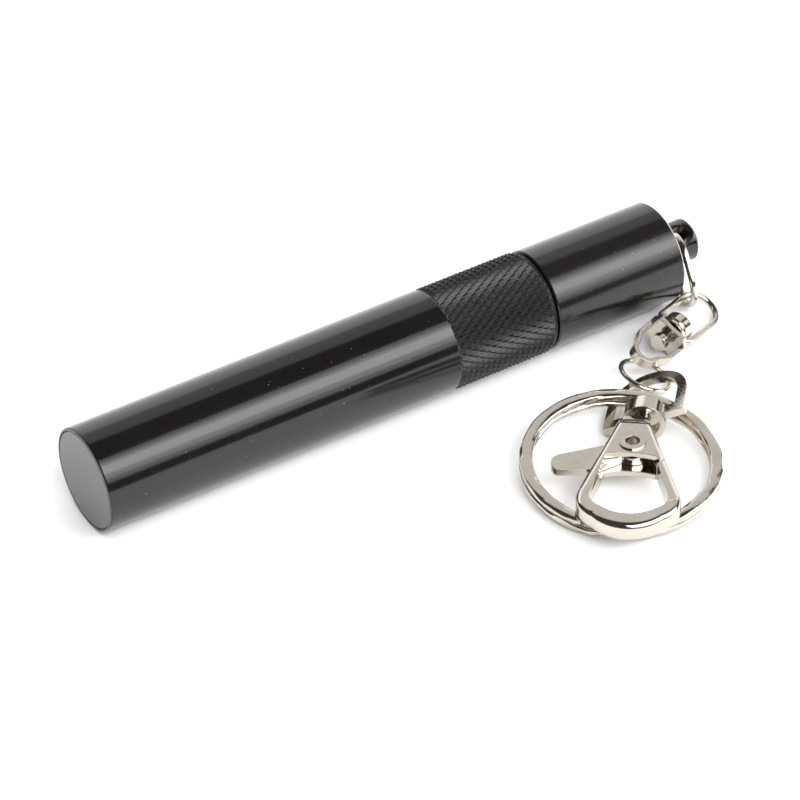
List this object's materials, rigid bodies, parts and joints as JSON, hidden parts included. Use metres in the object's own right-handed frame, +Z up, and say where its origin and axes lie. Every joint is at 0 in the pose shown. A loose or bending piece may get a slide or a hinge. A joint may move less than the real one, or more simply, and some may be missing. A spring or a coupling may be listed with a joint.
{
  "type": "keychain flashlight",
  "caption": "Slim round tube torch with a knurled band, a screw tail cap and a trigger clasp and split ring on a short chain.",
  "frame": {"origin": "centre of the flat lit end, on the tube's axis", "axes": "+X along the tube from the lit end to the tail, +Z up from the plane that the tube and the chain lie on, chain on the -Y side"},
  "size_m": [0.099, 0.0545, 0.015],
  "materials": {
    "gloss_black": "gloss black anodised",
    "satin_black": "satin black anodised, turned",
    "dark_filter_glass": "polished, nearly opaque",
    "rubber_black": "matte",
    "bright_aluminium": "polished",
    "lamp_package": "clear dome over a pale package",
    "brass": "turned",
    "circuit_board": "solder mask",
    "component_black": "moulded",
    "cell_wrap": "wrapped steel can",
    "plain_steel": "drawn wire",
    "liner_plastic": "thin film",
    "nickel_plate": "bright nickel plate over steel"
  },
  "bodies": {
    "barrel": {"barrel_tube": "gloss_black", "filter_window": "dark_filter_glass", "window_gasket": "rubber_black", "reflector_cup": "bright_aluminium", "led_emitter": "lamp_package", "led_board": "bright_aluminium", "heat_pill": "brass", "driver_board": "circuit_board", "driver_parts": "component_black", "contact_pad": "brass", "pill_retainer": "brass", "cell_can": "cell_wrap", "cell_nub": "plain_steel", "cell_sleeve": "liner_plastic"},
    "tail_carrier": {"spring_seat": "brass", "tail_spring": "plain_steel"},
    "tail_cap": {"tail_cap": "satin_black", "tail_seal": "rubber_black"},
    "link": {"oval_link": "nickel_plate"},
    "bail": {"swivel_bail": "nickel_plate"},
    "boss": {"swivel_boss": "nickel_plate", "swivel_rivet": "nickel_plate"},
    "stirrup": {"swivel_stirrup": "nickel_plate"},
    "jump_ring": {"jump_ring": "nickel_plate"},
    "eye": {"clasp_eye": "nickel_plate"},
    "clasp": {"clasp_body": "nickel_plate", "clasp_post": "nickel_plate", "gate_eyelet": "nickel_plate", "gate_spring": "plain_steel"},
    "gate": {"gate_lever": "nickel_plate"},
    "ring": {"split_ring": "nickel_plate"}
  },
  "joints": [
    {"name": "tail_cap_feed", "type": "slide", "parent": "barrel", "child": "tail_carrier", "axis": [1, 0, 0], "range_m": [0, 0.0005]},
    {"name": "tail_cap_twist", "type": "hinge", "parent": "tail_carrier", "child": "tail_cap", "pos_m": [0.072, 0, 0], "axis": [1, 0, 0], "range_deg": [0, 180]},
    {"name": "link_swing", "type": "hinge", "parent": "tail_cap", "child": "link", "pos_m": [0.09576, -0.00241, -0.00102], "axis": [-0.9731, 0.223, -0.0573], "range_deg": [0, 9]},
    {"name": "bail_swing", "type": "hinge", "parent": "link", "child": "bail", "pos_m": [0.09495, -0.00708, -0.00551], "axis": [-0.1827, -0.5968, 0.7813], "range_deg": [0, 8]},
    {"name": "boss_tilt", "type": "hinge", "parent": "bail", "child": "boss", "pos_m": [0.08887, -0.0113, -0.00494], "axis": [0.3077, -0.8421, -0.443], "range_deg": [-15, 15]},
    {"name": "stirrup_swivel", "type": "hinge", "parent": "boss", "child": "stirrup", "pos_m": [0.08728, -0.01199, -0.00473], "axis": [-0.9104, -0.3959, 0.1201], "range_deg": [-80, 80]},
    {"name": "jump_ring_swing", "type": "hinge", "parent": "stirrup", "child": "jump_ring", "pos_m": [0.08002, -0.01515, -0.00377], "axis": [0.3077, -0.8421, -0.443], "range_deg": [-10, 3]},
    {"name": "eye_swing", "type": "hinge", "parent": "jump_ring", "child": "eye", "pos_m": [0.07971, -0.01921, -0.00445], "axis": [0.6782, -0.59, 0.4381], "range_deg": [-10, 10]},
    {"name": "clasp_swivel", "type": "hinge", "parent": "eye", "child": "clasp", "pos_m": [0.07359, -0.02601, -0.00413], "axis": [-0.6687, -0.7427, 0.0349], "range_deg": [-2.5, 0]},
    {"name": "gate_open", "type": "hinge", "parent": "clasp", "child": "gate", "pos_m": [0.0679, -0.0312, -0.00362], "axis": [-0.0211, -0.0278, -0.9994], "range_deg": [0, 22], "stiffness_Nm_per_rad": 0.02, "springref_deg": -17.19},
    {"name": "ring_turn", "type": "hinge", "parent": "eye", "child": "ring", "pos_m": [0.06619, -0.03096, -0.00642], "axis": [-0.0107, -0.0733, 0.9973], "continuous": true}
  ],
  "couplings": [
    {"joint": "tail_cap_twist", "follows": "tail_cap_feed", "rad_per_m": 6283.2}
  ]
}
